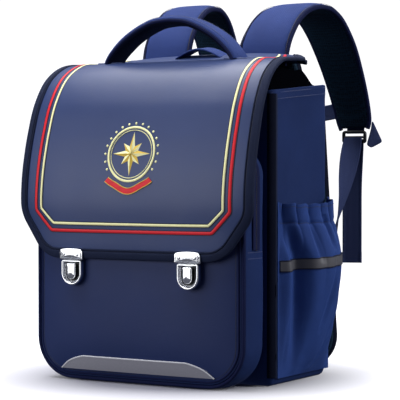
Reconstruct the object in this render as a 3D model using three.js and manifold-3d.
// A child's school satchel backpack: a stiff flap that folds over a front pocket, two chrome
// press locks, gathered side pouches, a padded back with arched shoulder straps, and a top handle.
// Millimetres, +Z up, +X to the right of someone facing the flap, -Y towards them.
// The origin is on the floor, under the middle of the main compartment.

import * as THREE from 'three';
import { mergeVertices } from 'three/addons/utils/BufferGeometryUtils.js';
import Module from 'manifold-3d';

const wasm = await Module();
wasm.setup();

// Driving dimensions
const GAP = 0.3;
const SIDES = { left: -1, right: 1 };

const BODY = { half: 143.5, front: -36, rear: 101, rim: 335, rimRise: 11, wall: 3, corner: 9 };
const POCKET = {
  half: 141, low: 1.5, high: 272, lowRadius: 48, highRadius: 35,
  edgeY: -91.5, bulge: 14, panel: 2.5, wall: 2.2, pipe: 2.2, panelInset: 4.5, pipeInset: 1.9,
};
const FLAP = { half: 158.5, thick: 2.6, bottomHalf: 122, chamferTop: 50, cornerRadius: 40, binding: 9 };
const LOCK = {
  x: 79, half: 11.5, low: 112.6, high: 141, deep: 7.5, back: -105.2,
  plateHalf: 14, plateTop: 10.4, plateThick: 2.8,
  buttonHalf: 6, buttonLow: 119, buttonHigh: 137.3, buttonProud: 0.8, buttonDeep: 3.6, pitDeep: 5.2,
};
const POUCH = { wall: 2, front: -26, rear: 99, ruffles: 7, columns: 23 };
const PANEL = { half: 149, low: 8, high: 377, shoulderHalf: 112, lowRadius: 38 };
const HANDLE = { y: -12, width: 28, thick: 8, footZ: 374 };
const LOOP = { y: 50, z: 380.3, half: 32, width: 25, thick: 2, rise: 11, slope: 0.111 };
const WEBBING = { width: 25, thick: 1.8 };
const BUCKLE = { x: 95, half: 17, low: 279, high: 295.8, y: 272, thick: 5, bar: 3.5 };
const EMBLEM = { s: 118.5, radius: 44 };

// Main compartment: plan outline at each height, from the floor up
const BODY_TABLE = {
  columns: ['z', 'inset'],
  rows: [[0, 9], [1.5, 5], [5, 2], [12, 0.3], [60, 0], [170, 0], [260, 0]],
};

// Black cloth collar above the rim: how far it stands inside the rim's outline, and its top edge
const COLLAR_TABLE = { columns: ['lift', 'inset'], rows: [[0, 3.7], [0.3, 3.7], [0.55, 6], [1, 11]] };

// Front pocket's gusset, from the piping back to the main compartment
const GUSSET_TABLE = {
  columns: ['y', 'inset'],
  rows: [[-88.9, 0.6], [-83, -0.6], [-70, -1.5], [-56, -0.6], [-47, 3], [-41, 7.5], [-36.4, 10]],
};

// Flap's side edge from its lower end up and over to the rear seam; bulge is how far the middle
// of the flap stands proud of the edge
const FLAP_TABLE = {
  columns: ['y', 'z', 'half', 'bulge'],
  rows: [
    [-96.5, 144, 158.5, 13.5], [-99.5, 175, 158.5, 12], [-103, 206, 158.5, 10.5],
    [-102, 232, 158.5, 9], [-98, 257, 158.5, 8], [-90.6, 287, 158.3, 7], [-78.4, 321.5, 157.8, 6],
    [-58.6, 351, 156.5, 4.5], [-30, 368.5, 154.6, 2.5], [0, 372.5, 152, 1], [25, 373.5, 149.5, 2],
    [45, 372, 143, 6], [62, 369.5, 131, 10.5], [80, 368, 121.5, 13], [93, 366.5, 117.5, 13.5],
    [100.2, 366.1, 116.5, 11.5],
  ],
};

// Stations along the flap, above its lower corners, closest where it bends
const FLAP_STATIONS = [
  78, 98, 120, 142, 156, 169, 181, 193, 205, 218, 232, 248, 268, 290, 310, 326, 342, 356, 368,
];

// Red and cream lines: distance in from the flap's side edge, along the flap
const LINES = {
  red: { low: 32.5, corner: 108.8, step: 23, inset: 27, width: 4 },
  cream: { low: 41, corner: 105.4, step: 16.5, inset: 35, width: 3 },
};
const LINE_THICK = 0.7;
const LINE_END = 330;
const BINDING = { under: 3.5, proud: 0.9 };

// Side pouch: how far it stands out at each height, and where its deep fold runs
const POUCH_TABLE = {
  columns: ['z', 'out', 'foldAt', 'foldDepth', 'ruffle'],
  rows: [
    [208, 22, 0.08, 0, 1.5], [200, 22.5, 0.08, 0.5, 1.6], [190, 24, 0.1, 2, 1.6],
    [178, 28, 0.13, 5, 0.9], [163, 33, 0.16, 8, 0.4], [147, 36.5, 0.19, 9, 0.2],
    [128, 37, 0.2, 9, 0], [108, 35.5, 0.19, 8.5, 0], [86, 31.5, 0.18, 8, 0],
    [64, 26, 0.18, 6, 0], [44, 19.5, 0.18, 4, 0], [27, 12, 0.18, 2, 0], [15, 4.5, 0.18, 0.5, 0],
    [9, 0, 0.18, 0, 0],
  ],
};
const POUCH_SHAPE = {
  columns: ['share'],
  rows: [[0], [0.42], [0.56], [0.66], [0.83], [0.97], [1], [0.96], [0.78], [0.4], [0]],
};
const FOLD_WIDTH = 0.055;
const SIDE_STRIP = { low: 130, rise: 8.5, height: 11, thick: 0.7 };

// Padded shoulder strap's centre line, from its seat on the bag's top to its lower end
const STRAP_TABLE = {
  columns: ['x', 'y', 'z', 'width', 'thick'],
  rows: [
    [69, 76.5, 382, 68, 7], [69.5, 82, 397, 68, 10], [70.5, 92, 412, 67, 11.5],
    [71.5, 107, 427, 66, 12], [73.5, 127, 439, 65, 12], [76, 150, 445, 64, 12],
    [79, 176, 444.5, 63, 12], [82, 199, 435, 62, 12], [84.5, 217, 419, 61, 12],
    [87, 233, 398, 60, 12], [89, 248, 373, 57, 12], [91, 261, 346, 54, 12],
    [93, 269, 323, 51, 11], [94.5, 272, 307, 48, 9], [95, 272, 297, 42, 6],
  ],
};

// Lower webbing from the back panel's foot up to the buckle; turn is its width's heading in degrees
const LOWER_TABLE = {
  columns: ['x', 'y', 'z', 'turn'],
  rows: [
    [112, 128.6, 44, 180], [112, 129.6, 62, 180], [111, 143, 92, 165], [109, 166, 130, 145],
    [106, 194, 168, 125], [102, 221, 206, 100], [98.5, 243, 240, 65], [96, 259, 267, 30],
    [95, 268.2, 287, 0],
  ],
};
const TAIL_TABLE = {
  columns: ['x', 'y', 'z', 'turn'],
  rows: [
    [94, 276.2, 286, 0], [92, 277.4, 268, 12], [90, 276.5, 225, 22], [90, 276, 175, 24], [90, 276, 124, 24],
  ],
};
const CHEST_TABLE = {
  columns: ['x', 'y', 'z'],
  rows: [[67, 271, 321], [52, 273.5, 319], [36, 275, 317.5], [20.6, 275.5, 317]],
};
const CHEST = { width: 20, thick: 1.8, clipHalf: 20, clipHigh: 26, clipThick: 8 };
const ANCHOR = { inner: 88, outer: 132, low: 27, high: 66, thick: 3, rear: 124.3 };
const TAB = {
  x: 118.8, y: 273.6, thick: 3, heading: 45,
  outline: [[-6.1, 277], [0, 273], [15.4, 281], [1.5, 309], [0, 298]],
};

// Handle's centre line, right half, from the middle to the foot
const HANDLE_TABLE = {
  columns: ['x', 'z'],
  rows: [[0, 420.3], [20, 418.5], [34, 414], [48, 407.5], [62, 399], [73, 390], [81.5, 381.5], [86, 375.2]],
};

// Finishes
const FINISH = {
  fauxLeather: { color: 0x2b3352, roughness: 0.45 },
  flapLeather: { color: 0x3a4568, roughness: 0.42 },
  binding: { color: 0x2a374d, roughness: 0.75 },
  nylon: { color: 0x25325f, roughness: 0.8 },
  strapNylon: { color: 0x3a4678, roughness: 0.85 },
  mesh: { color: 0x141c33, roughness: 0.9 },
  lining: { color: 0x0b0c14, roughness: 0.9 },
  webbing: { color: 0x232f55, roughness: 0.8 },
  chrome: { color: 0xd9dbe0, roughness: 0.1, metalness: 1 },
  blackPlastic: { color: 0x101218, roughness: 0.4 },
  redPrint: { color: 0xc8343f, roughness: 0.5 },
  creamPrint: { color: 0xf3efb0, roughness: 0.5 },
  reflector: { color: 0x777783, roughness: 0.5 },
};

// Smooth value of every column of a table at u, from 0 at its first row to 1 at its last
function rowAt(table, u) {
  const last = table.rows.length - 1;
  const place = THREE.MathUtils.clamp(u, 0, 1) * last;
  const i = Math.min(Math.floor(place), last - 1);
  const t = place - i;
  const pick = (k, c) => table.rows[THREE.MathUtils.clamp(k, 0, last)][c];
  const row = {};
  table.columns.forEach((name, c) => {
    const [a, b, d, e] = [pick(i - 1, c), pick(i, c), pick(i + 1, c), pick(i + 2, c)];
    row[name] = b + 0.5 * t * (d - a + t * (2 * a - 5 * b + 4 * d - e + t * (3 * (b - d) + e - a)));
  });
  return row;
}

const steps = (count, from = 0, to = 1) =>
  Array.from({ length: count + 1 }, (_, i) => from + ((to - from) * i) / count);

// Closed mesh from points and faces of three, turned so that it encloses a positive volume
function closedMesh(points, faces) {
  let volume = 0;
  for (const [a, b, c] of faces) volume += points[a].dot(points[b].clone().cross(points[c]));
  const geometry = new THREE.BufferGeometry();
  const flat = points.flatMap((p) => [p.x, p.y, p.z]);
  geometry.setAttribute('position', new THREE.Float32BufferAttribute(flat, 3));
  geometry.setIndex(volume < 0 ? faces.flatMap(([a, b, c]) => [a, c, b]) : faces.flat());
  return geometry;
}

// Two triangles for each cell of a grid of rows; wrap joins the last column to the first
function gridFaces(start, rows, columns, wrap, flip) {
  const faces = [];
  const spans = wrap ? columns : columns - 1;
  for (let r = 0; r < rows - 1; r += 1) {
    for (let c = 0; c < spans; c += 1) {
      const a = start + r * columns + c;
      const b = start + r * columns + ((c + 1) % columns);
      const [d, e] = [a + columns, b + columns];
      faces.push(...(flip ? [[a, e, b], [a, d, e]] : [[a, b, e], [a, e, d]]));
    }
  }
  return faces;
}

// Closed wall between an outer and an inner grid of points of the same size
function wall(outer, inner, wrap = false) {
  const rows = outer.length;
  const columns = outer[0].length;
  const points = [...outer.flat(), ...inner.flat()];
  const shift = rows * columns;
  const faces = [
    ...gridFaces(0, rows, columns, wrap, false),
    ...gridFaces(shift, rows, columns, wrap, true),
  ];
  const strip = (a, b, flip) => {
    const [c, d] = [a + shift, b + shift];
    faces.push(...(flip ? [[a, b, d], [a, d, c]] : [[a, d, b], [a, c, d]]));
  };
  const spans = wrap ? columns : columns - 1;
  for (let c = 0; c < spans; c += 1) {
    const next = (c + 1) % columns;
    strip(c, next, false);
    strip((rows - 1) * columns + c, (rows - 1) * columns + next, true);
  }
  if (!wrap) {
    for (let r = 0; r < rows - 1; r += 1) {
      strip(r * columns, (r + 1) * columns, true);
      strip(r * columns + columns - 1, (r + 1) * columns + columns - 1, false);
    }
  }
  return closedMesh(points, faces);
}

// Closed cup from rings that run from the outer rim, under the bottom, to the inner rim's twin:
// outer rings from rim to bottom, inner rings from rim to bottom, both bottoms closed by a fan
function cup(outer, inner) {
  const n = outer[0].length;
  const points = [...outer.flat(), ...inner.flat()];
  const shift = outer.length * n;
  const faces = [
    ...gridFaces(0, outer.length, n, true, false),
    ...gridFaces(shift, inner.length, n, true, true),
  ];
  for (let c = 0; c < n; c += 1) {
    const next = (c + 1) % n;
    faces.push([c, shift + next, next], [c, shift + c, shift + next]);
  }
  const fan = (rings, start, flip) => {
    const low = rings[rings.length - 1];
    const centre = low.reduce((sum, p) => sum.add(p), new THREE.Vector3()).divideScalar(n);
    const hub = points.push(centre) - 1;
    const first = start + (rings.length - 1) * n;
    for (let c = 0; c < n; c += 1) {
      const [a, b] = [first + c, first + ((c + 1) % n)];
      faces.push(flip ? [a, hub, b] : [a, b, hub]);
    }
  };
  fan(outer, 0, false);
  fan(inner, shift, true);
  return closedMesh(points, faces);
}

// Closed solid through rings of points; its two ends are closed by fans, or joined to each other
function loft(rings, endless = false) {
  const n = rings[0].length;
  const points = rings.flat();
  const body = endless ? [...rings, rings[0]] : rings;
  const faces = gridFaces(0, body.length, n, true, false)
    .map((face) => face.map((k) => k % points.length));
  if (!endless) {
    for (const [ring, flip] of [[0, true], [rings.length - 1, false]]) {
      const centre = rings[ring].reduce((sum, p) => sum.add(p), new THREE.Vector3()).divideScalar(n);
      const hub = points.push(centre) - 1;
      for (let c = 0; c < n; c += 1) {
        const [a, b] = [ring * n + c, ring * n + ((c + 1) % n)];
        faces.push(flip ? [a, hub, b] : [a, b, hub]);
      }
    }
  }
  return closedMesh(points, faces);
}

// Polyline through corner points in a plane, with an arc at each corner that has a radius;
// closed joins the last corner to the first
function rounded(corners, arcSteps, closed = true) {
  const out = [];
  corners.forEach(([x, y, radius], i) => {
    const here = new THREE.Vector2(x, y);
    const ends = !closed && (i === 0 || i === corners.length - 1);
    if (!radius || ends) {
      out.push(here);
      return;
    }
    const back = corners[(i + corners.length - 1) % corners.length];
    const next = corners[(i + 1) % corners.length];
    const u = new THREE.Vector2(back[0], back[1]).sub(here).normalize();
    const w = new THREE.Vector2(next[0], next[1]).sub(here).normalize();
    const half = Math.acos(THREE.MathUtils.clamp(u.dot(w), -1, 1)) / 2;
    const centre = u.clone().add(w).normalize().multiplyScalar(radius / Math.sin(half)).add(here);
    const start = u.multiplyScalar(radius / Math.tan(half)).add(here).sub(centre);
    const end = w.multiplyScalar(radius / Math.tan(half)).add(here).sub(centre);
    const sweep = Math.atan2(start.cross(end), start.dot(end));
    for (const t of steps(arcSteps)) {
      const [c, s] = [Math.cos(sweep * t), Math.sin(sweep * t)];
      out.push(new THREE.Vector2(c * start.x - s * start.y, s * start.x + c * start.y).add(centre));
    }
  });
  return out;
}

// Extra points along the straight stretches of a closed polyline, so that no span is longer than most
function filled(loop, most) {
  return loop.flatMap((p, i) => {
    const q = loop[(i + 1) % loop.length];
    const parts = Math.max(1, Math.ceil(p.distanceTo(q) / most));
    return steps(parts).slice(0, -1).map((t) => p.clone().lerp(q, t));
  });
}

// The closed, anticlockwise polyline moved inwards by a distance
function insetLoop(loop, distance) {
  const n = loop.length;
  return loop.map((p, i) => {
    const u = p.clone().sub(loop[(i + n - 1) % n]).normalize();
    const w = loop[(i + 1) % n].clone().sub(p).normalize();
    const normal = new THREE.Vector2(-u.y - w.y, u.x + w.x).normalize();
    const turn = Math.max(0.5, Math.sqrt((1 + u.dot(w)) / 2));
    return p.clone().addScaledVector(normal, distance / turn);
  });
}

const nodes = new THREE.Group();
function add(name, geometry, finish) {
  const mesh = new THREE.Mesh(geometry, new THREE.MeshStandardMaterial(FINISH[finish]));
  mesh.name = name;
  nodes.add(mesh);
  return mesh;
}

// Main compartment: an open tub whose rim rises towards the back
function bodyLoop(inset) {
  const corners = [
    [-BODY.half, BODY.front, BODY.corner], [BODY.half, BODY.front, BODY.corner],
    [BODY.half, BODY.rear, BODY.corner], [-BODY.half, BODY.rear, BODY.corner],
  ];
  return insetLoop(filled(rounded(corners, 3), 75), inset);
}
const rimHeight = (y) =>
  BODY.rim + BODY.rimRise * THREE.MathUtils.clamp((y - BODY.front) / (BODY.rear - BODY.front - 12), 0, 1);
function bodyRings(inset, lift) {
  const top = bodyLoop(inset).map((p) => new THREE.Vector3(p.x, p.y, rimHeight(p.y)));
  const rings = BODY_TABLE.rows.map(([z, edge]) =>
    bodyLoop(edge + inset).map((p) => new THREE.Vector3(p.x, p.y, Math.max(z, lift))));
  return [...rings, top].reverse();
}
const innerBody = bodyRings(BODY.wall, BODY.wall).slice(0, -2);
add('body_shell', cup(bodyRings(0, 0), innerBody), 'nylon');

// Collar: a black cloth ring that carries on from the rim up under the flap
const collarTop = (y) => 361 - 15.5 * THREE.MathUtils.smoothstep(y, 52, 84);
function collarRing(row, wallInset) {
  return bodyLoop(row.inset + wallInset).map((p) => {
    const low = rimHeight(p.y) - 12;
    return new THREE.Vector3(p.x, p.y, low + (collarTop(p.y) - low) * row.lift);
  });
}
const collarRings = (extra) => steps(3).map((u) => collarRing(rowAt(COLLAR_TABLE, u), extra));
add('inner_collar', wall(collarRings(0), collarRings(1.6), true), 'lining');

// Padded back: a crowned slab with round lower corners and cut-in shoulders
const panelOutline = filled(rounded([
  [-PANEL.half, PANEL.low, PANEL.lowRadius], [PANEL.half, PANEL.low, PANEL.lowRadius],
  [PANEL.half, 342, 9], [120, 349, 10], [PANEL.shoulderHalf, PANEL.high, 8],
  [-PANEL.shoulderHalf, PANEL.high, 8], [-120, 349, 10], [-PANEL.half, 342, 9],
], 4), 110);
const PANEL_TABLE = [[101.3, 2], [104, 0], [113, 0], [119, 2.2], [122.5, 6], [124, 12]];
add('back_panel', loft(PANEL_TABLE.map(([y, inset]) =>
  insetLoop(panelOutline, inset).map((p) => new THREE.Vector3(p.x, y, p.y)))), 'mesh');

// Front pocket
const pocketOutline = filled(rounded([
  [-POCKET.half, POCKET.low, POCKET.lowRadius], [POCKET.half, POCKET.low, POCKET.lowRadius],
  [POCKET.half, POCKET.high, POCKET.highRadius], [-POCKET.half, POCKET.high, POCKET.highRadius],
], 5), 100);
const pocketRing = (y, inset) => insetLoop(pocketOutline, inset).map((p) => new THREE.Vector3(p.x, y, p.y));
const gussetRings = (extra) => GUSSET_TABLE.rows.map(([y, inset]) => pocketRing(y, inset + extra));
add('pocket_gusset', wall(gussetRings(0), gussetRings(POCKET.wall), true), 'nylon');

// Half width of the pocket's outline, drawn in by an inset, at height z
function pocketHalf(z, inset) {
  const arc = (radius, edge) => {
    const r = radius - inset;
    const d = Math.max(0, r - edge);
    return r - Math.sqrt(Math.max(0, r * r - d * d));
  };
  const low = arc(POCKET.lowRadius, z - POCKET.low - inset);
  const high = arc(POCKET.highRadius, POCKET.high - inset - z);
  return POCKET.half - inset - low - high;
}
const pocketMiddle = (POCKET.low + POCKET.high) / 2;
function pocketFace(x, z, lift = 0) {
  const across = 1 - (x / POCKET.half) ** 4;
  const up = 1 - ((z - pocketMiddle) / (pocketMiddle - POCKET.low)) ** 6;
  return new THREE.Vector3(x, POCKET.edgeY - POCKET.bulge * across * up - lift, z);
}
const panelLow = POCKET.low + POCKET.panelInset;
const panelHigh = POCKET.high - POCKET.panelInset;
const panelRows = [0, 0.008, 0.03, 0.065, 0.11, 0.165, 0.26, 0.4, 0.55, 0.7, 0.8, 0.87, 0.93, 0.97, 1]
  .map((t) => panelLow + (panelHigh - panelLow) * t);
const panelGrid = (lift) => panelRows.map((z) =>
  steps(10, -1, 1).map((v) => pocketFace(v * pocketHalf(z, POCKET.panelInset), z, lift)));
add('pocket_front', wall(panelGrid(0), panelGrid(-POCKET.panel)), 'fauxLeather');

// Piping all round the pocket's face
const pipeLoop = insetLoop(pocketOutline, POCKET.pipeInset);
const pipeCentre = pipeLoop.reduce((sum, p) => sum.add(p), new THREE.Vector2()).divideScalar(pipeLoop.length);
function pipeRing(p, i) {
  const n = pipeLoop.length;
  const along = pipeLoop[(i + 1) % n].clone().sub(pipeLoop[(i + n - 1) % n]).normalize();
  const outward = new THREE.Vector2(along.y, -along.x);
  if (outward.dot(p.clone().sub(pipeCentre)) < 0) outward.negate();
  return steps(6).slice(0, -1).map((t) => {
    const [c, s] = [Math.cos(2 * Math.PI * t), Math.sin(2 * Math.PI * t)];
    const flat = p.clone().addScaledVector(outward, POCKET.pipe * c);
    return new THREE.Vector3(flat.x, POCKET.edgeY + POCKET.pipe * s, flat.y);
  });
}
add('pocket_piping', loft(pipeLoop.map(pipeRing), true), 'binding');

// Zip tape over the top of the pocket's gusset, and down its sides to the hem
const zipLoop = filled(rounded([
  [POCKET.half, 150, 0], [POCKET.half, POCKET.high, POCKET.highRadius],
  [-POCKET.half, POCKET.high, POCKET.highRadius], [-POCKET.half, 150, 0],
], 5, false), 95).slice(0, -3);
const zipOutset = (p, distance) => {
  const core = new THREE.Vector2(
    THREE.MathUtils.clamp(p.x, POCKET.highRadius - POCKET.half, POCKET.half - POCKET.highRadius),
    Math.min(p.y, POCKET.high - POCKET.highRadius),
  );
  return p.clone().add(p.clone().sub(core).normalize().multiplyScalar(distance));
};
add('pocket_zip', loft(zipLoop.map((p) => [[-76, 1.9], [-64, 1.9], [-64, 2.6], [-76, 2.6]].map(([y, out]) => {
  const q = zipOutset(p, out);
  return new THREE.Vector3(q.x, y, q.y);
}))), 'binding');

// Reflective strip along the foot of the pocket's face
const stripLow = 9.5;
const stripTop = (x) => 28 - 9 * THREE.MathUtils.smoothstep(Math.abs(x), 78, 99);
const stripGrid = (lift) => steps(3).map((t) => steps(16, -99, 99).map((x) =>
  pocketFace(x, stripLow + 3 + (stripTop(x) - stripLow - 3) * t, lift)));
add('pocket_reflector', wall(stripGrid(GAP + 0.7), stripGrid(GAP)), 'reflector');

// Flap: a folded sheet. Its flat place is (s, x), s along the side edge from the lower end
const flapFine = steps(420).map((u) => rowAt(FLAP_TABLE, u));
const flapLength = [0];
for (let i = 1; i < flapFine.length; i += 1) {
  const [a, b] = [flapFine[i - 1], flapFine[i]];
  flapLength.push(flapLength[i - 1] + Math.hypot(b.y - a.y, b.z - a.z));
}
const flapEnd = flapLength[flapLength.length - 1];
function flapRow(s) {
  const place = THREE.MathUtils.clamp(s, 0, flapEnd);
  let i = flapLength.findIndex((length) => length >= place);
  i = Math.max(1, i);
  const t = (place - flapLength[i - 1]) / (flapLength[i] - flapLength[i - 1]);
  const [a, b] = [flapFine[i - 1], flapFine[i]];
  const mix = (name) => a[name] + (b[name] - a[name]) * t;
  const along = new THREE.Vector2(b.y - a.y, b.z - a.z).normalize();
  const extra = s - place;
  return {
    y: mix('y') + along.x * extra, z: mix('z') + along.y * extra,
    half: mix('half'), bulge: mix('bulge'), ny: -along.y, nz: along.x,
  };
}
function flapPoint(s, x, lift = 0) {
  const row = flapRow(s);
  const proud = row.bulge * (1 - (x / 160) ** 4) + lift;
  return new THREE.Vector3(x, row.y + row.ny * proud, row.z + row.nz * proud);
}

// Right half of the flap's outline in its flat place, drawn in by an inset
const cornerEnd = 68;
const outlineCorner = rounded([
  [0, 0, 0], [0, FLAP.bottomHalf, FLAP.cornerRadius],
  [FLAP.chamferTop, FLAP.half, FLAP.cornerRadius], [cornerEnd, FLAP.half, 0],
], 5, false);
const sideStations = [...FLAP_STATIONS, flapEnd];
const outlineSide = sideStations.map((s) => new THREE.Vector2(s, flapRow(s).half));
const flapOutline = [...outlineCorner, ...outlineSide];
function insetPath(path, distance) {
  return path.map((p, i) => {
    const along = path[Math.min(i + 1, path.length - 1)].clone().sub(path[Math.max(i - 1, 0)]).normalize();
    return p.clone().add(new THREE.Vector2(along.y, -along.x).multiplyScalar(distance));
  });
}
const sheetLow = FLAP.binding + 2 * GAP;
const sheetOutline = insetPath(flapOutline, sheetLow);
function sheetHalf(s) {
  const i = sheetOutline.findIndex((p, k) => k > 1 && p.x >= s);
  if (i < 0) return sheetOutline[sheetOutline.length - 1].y;
  const [a, b] = [sheetOutline[i - 1], sheetOutline[i]];
  return a.y + (b.y - a.y) * THREE.MathUtils.clamp((s - a.x) / Math.max(b.x - a.x, 1e-6), 0, 1);
}
const sheetRows = [0, 0.8, 3, 7, 13, 20, 29, 40, 52].map((s) => sheetLow + s)
  .concat(sideStations);
const flapGrid = (lift) => sheetRows.map((s) =>
  steps(10, -1, 1).map((v) => flapPoint(s, v * sheetHalf(s), lift)));
add('flap', wall(flapGrid(0), flapGrid(-FLAP.thick)), 'flapLeather');

// Band along a path in the flap's flat place, between two heights over its surface
function flapBand(path, width, low, high) {
  return loft(path.map((p, i) => {
    const along = path[Math.min(i + 1, path.length - 1)].clone().sub(path[Math.max(i - 1, 0)]).normalize();
    const side = new THREE.Vector2(along.y, -along.x).multiplyScalar(width / 2);
    const [a, b] = [p.clone().add(side), p.clone().sub(side)];
    return [flapPoint(a.x, a.y, low), flapPoint(b.x, b.y, low), flapPoint(b.x, b.y, high), flapPoint(a.x, a.y, high)];
  }));
}
const mirrored = (half) => [
  ...half.slice(1).reverse().map((p) => new THREE.Vector2(p.x, -p.y)),
  ...half,
];
const bindingPath = mirrored(insetPath(flapOutline, FLAP.binding / 2));
add('flap_binding', flapBand(bindingPath, FLAP.binding, -BINDING.under, BINDING.proud), 'binding');
for (const [name, line] of Object.entries(LINES)) {
  const sideX = (s) => flapRow(s).half - line.inset;
  const top = line.low + line.step;
  const half = [
    ...steps(5, 0, line.corner).map((x) => new THREE.Vector2(line.low, x)),
    new THREE.Vector2(top, sideX(top)),
    ...FLAP_STATIONS.filter((s) => s < LINE_END).map((s) => new THREE.Vector2(s, sideX(s))),
  ];
  add(`flap_line_${name}`, flapBand(mirrored(half), line.width, GAP, GAP + LINE_THICK), `${name}Print`);
}

// Emblem: a compass star inside a ring, over a curved bar, raised a little from the flap
function emblemPiece(shape) {
  const flat = new THREE.ExtrudeGeometry(shape, { depth: 0.9, bevelEnabled: false, curveSegments: 10 });
  const at = flat.getAttribute('position');
  for (let i = 0; i < at.count; i += 1) {
    const p = flapPoint(EMBLEM.s + at.getY(i), at.getX(i), GAP + at.getZ(i));
    at.setXYZ(i, p.x, p.y, p.z);
  }
  flat.deleteAttribute('normal');
  flat.deleteAttribute('uv');
  const merged = mergeVertices(flat, 1e-4);
  return closedMesh(
    steps(merged.getAttribute('position').count - 1, 0, merged.getAttribute('position').count - 1)
      .map((i) => new THREE.Vector3().fromBufferAttribute(merged.getAttribute('position'), Math.round(i))),
    steps(merged.index.count / 3 - 1, 0, merged.index.count / 3 - 1)
      .map((i) => [0, 1, 2].map((k) => merged.index.getX(3 * Math.round(i) + k))),
  );
}
function ringShape(outer, inner, sides) {
  const circle = (radius) => steps(sides).slice(0, -1).map((t) =>
    new THREE.Vector2(radius * Math.cos(2 * Math.PI * t), radius * Math.sin(2 * Math.PI * t)));
  const shape = new THREE.Shape(circle(outer));
  shape.holes.push(new THREE.Path(circle(inner)));
  return shape;
}
const starPoints = steps(16).slice(0, -1).map((t, i) => {
  const radius = i % 4 === 0 ? 25 : [9, 17, 9][(i % 4) - 1];
  return new THREE.Vector2(radius * Math.sin(2 * Math.PI * t), radius * Math.cos(2 * Math.PI * t));
});
add('emblem_ring', emblemPiece(ringShape(32, 29.5, 24)), 'creamPrint');
add('emblem_star', emblemPiece(new THREE.Shape(starPoints)), 'creamPrint');
const arcEdge = (radius, turn) => steps(12, -turn, turn).map((t) =>
  new THREE.Vector2(radius * Math.sin(t), -radius * Math.cos(t)));
add('emblem_bar', emblemPiece(new THREE.Shape([...arcEdge(EMBLEM.radius, 0.8), ...arcEdge(37, 0.8).reverse()])),
  'redPrint');

// Chrome locks: a plate over the flap's lower edge, and a round-ended case with a press button
function caseShape(half, low, high) {
  const shape = new THREE.Shape();
  shape.moveTo(half, high);
  shape.lineTo(-half, high);
  shape.lineTo(-half, low + half);
  shape.absarc(0, low + half, half, Math.PI, 2 * Math.PI, false);
  shape.lineTo(half, high);
  return shape;
}
function standing(shape, depth, back, x) {
  const geometry = new THREE.ExtrudeGeometry(shape, { depth, bevelEnabled: false, curveSegments: 10 });
  geometry.rotateX(Math.PI / 2);
  geometry.translate(x, back, 0);
  geometry.deleteAttribute('normal');
  geometry.deleteAttribute('uv');
  return mergeVertices(geometry, 1e-4);
}
function toSolid(geometry) {
  return new wasm.Manifold(new wasm.Mesh({
    numProp: 3,
    vertProperties: new Float32Array(geometry.getAttribute('position').array),
    triVerts: new Uint32Array(geometry.index.array),
  }));
}
function fromSolid(solid) {
  const mesh = solid.getMesh();
  const geometry = new THREE.BufferGeometry();
  geometry.setAttribute('position', new THREE.BufferAttribute(mesh.vertProperties, 3));
  geometry.setIndex(new THREE.BufferAttribute(mesh.triVerts, 1));
  return geometry;
}
for (const [side, sign] of Object.entries(SIDES)) {
  const x = sign * LOCK.x;
  const plateTop = (u) => LOCK.plateTop + 1.4 * (1 - u * u);
  const plate = (lift) => steps(3).map((t) => steps(8, -1, 1).map((u) =>
    flapPoint(-1 + (plateTop(u) + 1) * t, x + LOCK.plateHalf * u, lift + 0.5 * (1 - u * u))));
  const plateBack = BINDING.proud + GAP;
  add(`lock_plate_${side}`, wall(plate(plateBack + LOCK.plateThick), plate(plateBack)), 'chrome');
  const block = toSolid(standing(caseShape(LOCK.half, LOCK.low, LOCK.high), LOCK.deep, LOCK.back, x));
  const front = LOCK.back - LOCK.deep;
  const pitShape = caseShape(LOCK.buttonHalf + GAP, LOCK.buttonLow - GAP, LOCK.buttonHigh + GAP);
  const pit = toSolid(standing(pitShape, LOCK.deep, front + LOCK.pitDeep, x));
  add(`lock_case_${side}`, fromSolid(block.subtract(pit)), 'chrome');
  const buttonShape = caseShape(LOCK.buttonHalf, LOCK.buttonLow, LOCK.buttonHigh);
  add(`lock_button_${side}`,
    standing(buttonShape, LOCK.buttonDeep, front + LOCK.buttonDeep - LOCK.buttonProud, x), 'chrome');
}

// Side pouches: a gathered mouth, a deep fold and a full belly, sewn along both edges and the foot
const pouchMouth = (v) => 4 * v - 4 * Math.sin(Math.PI * v);
function pouchPoint(u, v, sign, depth) {
  const row = rowAt(POUCH_TABLE, u);
  const share = rowAt(POUCH_SHAPE, v).share;
  const fold = row.foldDepth * Math.exp(-(((v - row.foldAt) / FOLD_WIDTH) ** 2));
  const wave = row.ruffle * Math.cos(2 * Math.PI * POUCH.ruffles * v) * Math.min(1, 4 * share);
  const middle = (POUCH.front + POUCH.rear) / 2;
  const reach = (POUCH.rear - POUCH.front) / 2 - depth;
  const stand = Math.max(0, row.out * share - fold + wave);
  const x = BODY.half + GAP + POUCH.wall + stand - depth;
  const z = row.z + (1 - u) ** 3 * pouchMouth(v) + depth * (u > 0.999 ? 1 : 0);
  return new THREE.Vector3(sign * x, middle + reach * (2 * v - 1), z);
}
for (const [side, sign] of Object.entries(SIDES)) {
  const pouch = (depth) => steps(12).map((u) => steps(POUCH.columns).map((v) => pouchPoint(u, v, sign, depth)));
  add(`side_pouch_${side}`, wall(pouch(0), pouch(POUCH.wall)), 'nylon');
  const pouchU = (z) => {
    const rows = POUCH_TABLE.rows;
    const i = rows.findIndex(([height]) => height <= z);
    return (i - (z - rows[i][0]) / (rows[i - 1][0] - rows[i][0])) / (rows.length - 1);
  };
  const strip = (lift) => steps(2).map((t) => steps(POUCH.columns - 2, 1 / POUCH.columns, 1 - 1 / POUCH.columns).map((v) => {
    const z = SIDE_STRIP.low + SIDE_STRIP.rise * v + SIDE_STRIP.height * t;
    const p = pouchPoint(pouchU(z), v, sign, 0);
    return p.add(new THREE.Vector3(sign * lift, 0, 0));
  }));
  add(`side_reflector_${side}`, wall(strip(1.8), strip(1.1)), 'reflector');
}

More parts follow.
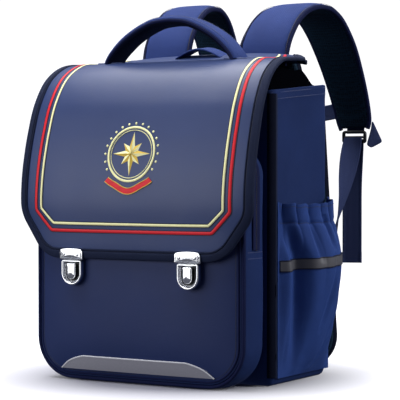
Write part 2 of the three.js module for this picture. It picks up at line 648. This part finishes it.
// Flat or padded band along a path: rounded section across each station
function bandRing(at, along, across, width, thick) {
  const normal = along.clone().cross(across).normalize();
  const edge = Math.min(thick / 2, 5);
  const section = [
    [width / 2, 0], [width / 2 - edge, thick / 2], [0, thick / 2], [edge - width / 2, thick / 2],
    [-width / 2, 0], [edge - width / 2, -thick / 2], [0, -thick / 2], [width / 2 - edge, -thick / 2],
  ];
  return section.map(([u, w]) => at.clone().addScaledVector(across, u).addScaledVector(normal, w));
}
function bandAlong(places, acrossOf, widthOf, thickOf) {
  return loft(places.map((p, i) => {
    const along = places[Math.min(i + 1, places.length - 1)].clone()
      .sub(places[Math.max(i - 1, 0)]).normalize();
    const across = acrossOf(i).clone();
    across.addScaledVector(along, -across.dot(along)).normalize();
    return bandRing(p, along, across, widthOf(i), thickOf(i));
  }));
}

// Flat webbing along a path: its two faces share their diagonals, so a twist keeps its thickness
function webbingAlong(places, acrossOf, width, thick) {
  const face = (side) => places.map((p, i) => {
    const along = places[Math.min(i + 1, places.length - 1)].clone()
      .sub(places[Math.max(i - 1, 0)]).normalize();
    const across = acrossOf(i).clone();
    across.addScaledVector(along, -across.dot(along)).normalize();
    const normal = along.clone().cross(across).normalize();
    return [-width / 2, width / 2].map((u) =>
      p.clone().addScaledVector(across, u).addScaledVector(normal, (side * thick) / 2));
  });
  return wall(face(1), face(-1));
}

// Handle: a flat arched grip, with its width from front to back
const handleHalf = steps(8).map((u) => rowAt(HANDLE_TABLE, u));
const handlePlaces = [
  ...handleHalf.slice(1).reverse().map((row) => new THREE.Vector3(-row.x, HANDLE.y, row.z)),
  ...handleHalf.map((row) => new THREE.Vector3(row.x, HANDLE.y, row.z)),
];
const handleEnd = handlePlaces.length - 1;
const handleMesh = bandAlong(handlePlaces, () => new THREE.Vector3(0, 1, 0), () => HANDLE.width, () => HANDLE.thick);
const handleAt = handleMesh.getAttribute('position');
for (let i = 0; i < handleAt.count; i += 1) {
  const foot = i < 8 || i >= 8 * handleEnd;
  if (foot) handleAt.setZ(i, HANDLE.footZ);
}
add('handle', handleMesh, 'binding');

// Hang loop: a short arch of webbing behind the handle
const loopPlaces = steps(12, -1, 1).map((u) =>
  new THREE.Vector3(LOOP.half * u, LOOP.y, LOOP.z + LOOP.rise * Math.cos((Math.PI / 2) * u)));
add('hang_loop', webbingAlong(loopPlaces, () => new THREE.Vector3(0, 1, LOOP.slope), LOOP.width, LOOP.thick),
  'webbing');

// Shoulder straps and all that hangs on them
const headed = (degrees, sign) => {
  const turn = THREE.MathUtils.degToRad(degrees);
  return new THREE.Vector3(sign * Math.cos(turn), Math.sin(turn), 0);
};
for (const [side, sign] of Object.entries(SIDES)) {
  const stations = steps(20).map((u) => rowAt(STRAP_TABLE, u));
  const places = stations.map((row) => new THREE.Vector3(sign * row.x, row.y, row.z));
  add(`shoulder_strap_${side}`, bandAlong(places, () => new THREE.Vector3(1, 0, 0),
    (i) => stations[i].width, (i) => stations[i].thick), 'strapNylon');

  const frame = new THREE.Shape([[-1, 0], [1, 0], [1, 1], [-1, 1]].map(([u, v]) =>
    new THREE.Vector2(u * BUCKLE.half, BUCKLE.low + v * (BUCKLE.high - BUCKLE.low))));
  frame.holes.push(new THREE.Path([[-1, 0], [-1, 1], [1, 1], [1, 0]].map(([u, v]) => new THREE.Vector2(
    u * (BUCKLE.half - BUCKLE.bar),
    BUCKLE.low + BUCKLE.bar + v * (BUCKLE.high - BUCKLE.low - 2 * BUCKLE.bar),
  ))));
  add(`strap_buckle_${side}`, standing(frame, BUCKLE.thick, BUCKLE.y + BUCKLE.thick / 2, sign * BUCKLE.x),
    'blackPlastic');

  for (const [name, table] of [['lower_webbing', LOWER_TABLE], ['webbing_tail', TAIL_TABLE]]) {
    const rows = steps(name === 'webbing_tail' ? 8 : 18).map((u) => rowAt(table, u));
    const path = rows.map((row) => new THREE.Vector3(sign * row.x, row.y, row.z));
    add(`${name}_${side}`, webbingAlong(path, (i) => headed(rows[i].turn, sign),
      WEBBING.width, WEBBING.thick), 'webbing');
  }

  const across = headed(TAB.heading, sign);
  const normal = new THREE.Vector3(-across.y, across.x, 0);
  const tabRing = (shift) => TAB.outline.map(([u, z]) =>
    new THREE.Vector3(sign * TAB.x, TAB.y, z).addScaledVector(across, u).addScaledVector(normal, sign * shift));
  add(`pull_tab_${side}`, loft([tabRing(0), tabRing(TAB.thick)]), 'webbing');

  const corner = (y) => [[ANCHOR.outer, ANCHOR.low], [ANCHOR.outer, ANCHOR.high], [ANCHOR.outer - 16, ANCHOR.high],
    [ANCHOR.inner, ANCHOR.low]].map(([x, z]) => new THREE.Vector3(sign * x, y, z));
  add(`strap_anchor_${side}`, loft([corner(ANCHOR.rear), corner(ANCHOR.rear + ANCHOR.thick)]), 'webbing');

  const chest = steps(6).map((u) => rowAt(CHEST_TABLE, u));
  add(`chest_webbing_${side}`, webbingAlong(chest.map((row) => new THREE.Vector3(sign * row.x, row.y, row.z)),
    () => new THREE.Vector3(0, 0, 1), CHEST.width, CHEST.thick), 'webbing');
}
const clipEnd = CHEST_TABLE.rows[CHEST_TABLE.rows.length - 1];
const clipRing = (x, trim) => [[-1, -1], [1, -1], [1, 1], [-1, 1]].map(([v, w]) => new THREE.Vector3(
  x,
  clipEnd[1] + v * (CHEST.clipThick / 2 - trim),
  clipEnd[2] + w * (CHEST.clipHigh / 2 - trim),
));
add('chest_clip', loft([[-1, 2], [-0.7, 0], [0.7, 0], [1, 2]].map(([u, trim]) =>
  clipRing(u * CHEST.clipHalf, trim))), 'blackPlastic');

export default nodes;
